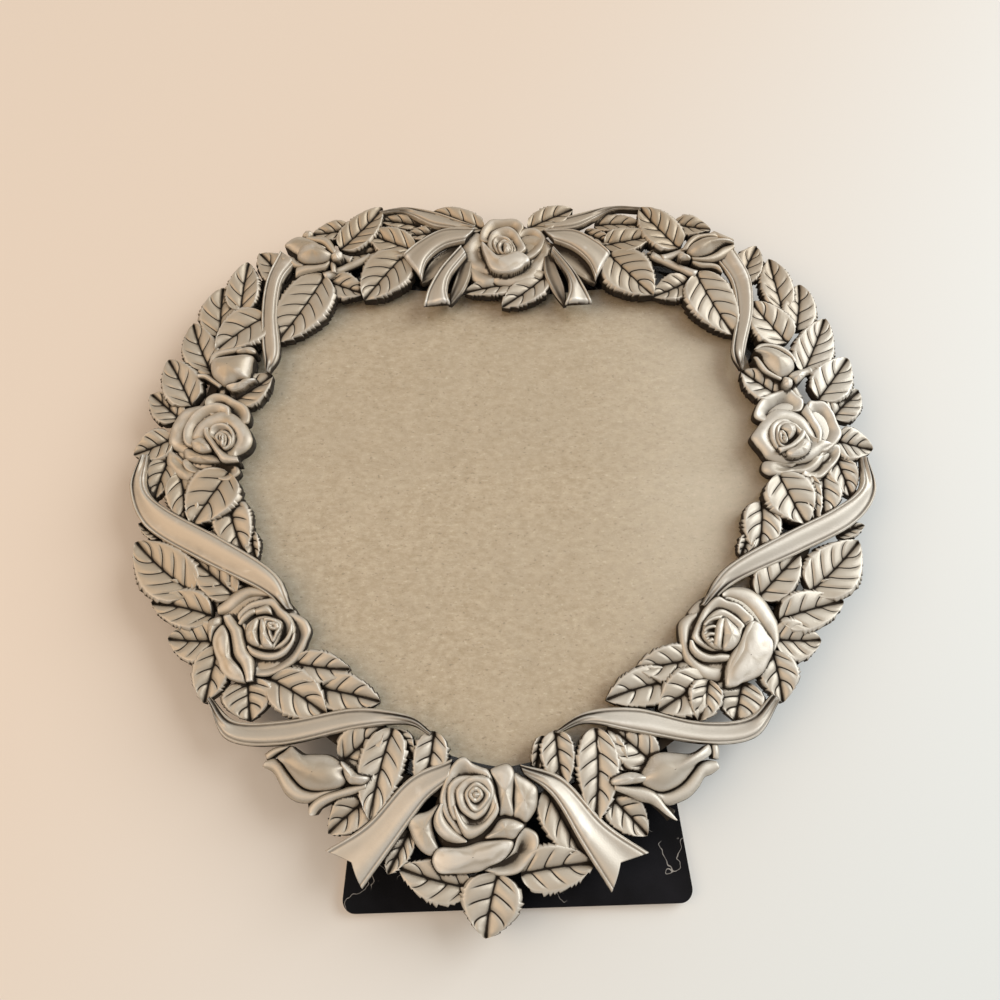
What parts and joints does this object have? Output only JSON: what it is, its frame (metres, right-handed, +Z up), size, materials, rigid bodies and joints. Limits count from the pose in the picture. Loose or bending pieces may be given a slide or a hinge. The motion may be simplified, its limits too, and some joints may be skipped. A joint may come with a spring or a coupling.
{
  "type": "heart shaped photo frame",
  "caption": "Heart shaped tabletop photo frame cast as a wreath of roses, leaves and ribbon, with glass, a velvet covered back and a folding easel leg.",
  "frame": {"origin": "on the table under the middle of the heart, with the frame lying on its folded leg", "axes": "+X to the right seen from the front, +Y to the top of the heart, +Z up through the glass towards the flowers"},
  "size_m": [0.1945, 0.1924, 0.0162],
  "materials": {
    "pewter": "cast pewter, darkened in the recesses and rubbed bright on the edges",
    "clear_glass": "clear float glass",
    "kraft_board": "brown kraft faced board with fine flecks",
    "leg_board": "brown board, raw at its cut edge",
    "black_velvet": "short flocked black velvet",
    "hinge_steel": "stamped sheet steel, nickel plated",
    "screw_steel": "small zinc plated screws",
    "button_brass": "stamped sheet brass"
  },
  "bodies": {
    "frame": {"wreath_casting": "pewter", "glass_pane": "clear_glass", "backing_board": "kraft_board", "back_velvet": "black_velvet", "hinge_fixed_leaf": "hinge_steel", "hinge_pin": "hinge_steel", "button_screws": "screw_steel"},
    "easel_leg": {"easel_leg_board": "leg_board", "leg_velvet_front": "black_velvet", "leg_velvet_back": "black_velvet", "hinge_moving_leaf": "hinge_steel"},
    "button_1": {"turn_button_1": "button_brass"},
    "button_2": {"turn_button_2": "button_brass"},
    "button_3": {"turn_button_3": "button_brass"},
    "button_4": {"turn_button_4": "button_brass"}
  },
  "joints": [
    {"name": "easel_hinge", "type": "hinge", "parent": "frame", "child": "easel_leg", "pos_m": [0, 0.028, 0.002], "axis": [1, 0, 0], "range_deg": [0, 32]},
    {"name": "button_swivel_1", "type": "hinge", "parent": "frame", "child": "button_1", "pos_m": [0.06726, 0.06447, 0.0032], "axis": [0, 0, 1], "range_deg": [-90, 90]},
    {"name": "button_swivel_2", "type": "hinge", "parent": "frame", "child": "button_2", "pos_m": [0.0673, -0.03293, 0.0032], "axis": [0, 0, 1], "range_deg": [-90, 90]},
    {"name": "button_swivel_3", "type": "hinge", "parent": "frame", "child": "button_3", "pos_m": [-0.0673, -0.03293, 0.0032], "axis": [0, 0, 1], "range_deg": [-90, 90]},
    {"name": "button_swivel_4", "type": "hinge", "parent": "frame", "child": "button_4", "pos_m": [-0.06726, 0.06447, 0.0032], "axis": [0, 0, 1], "range_deg": [-90, 90]}
  ]
}
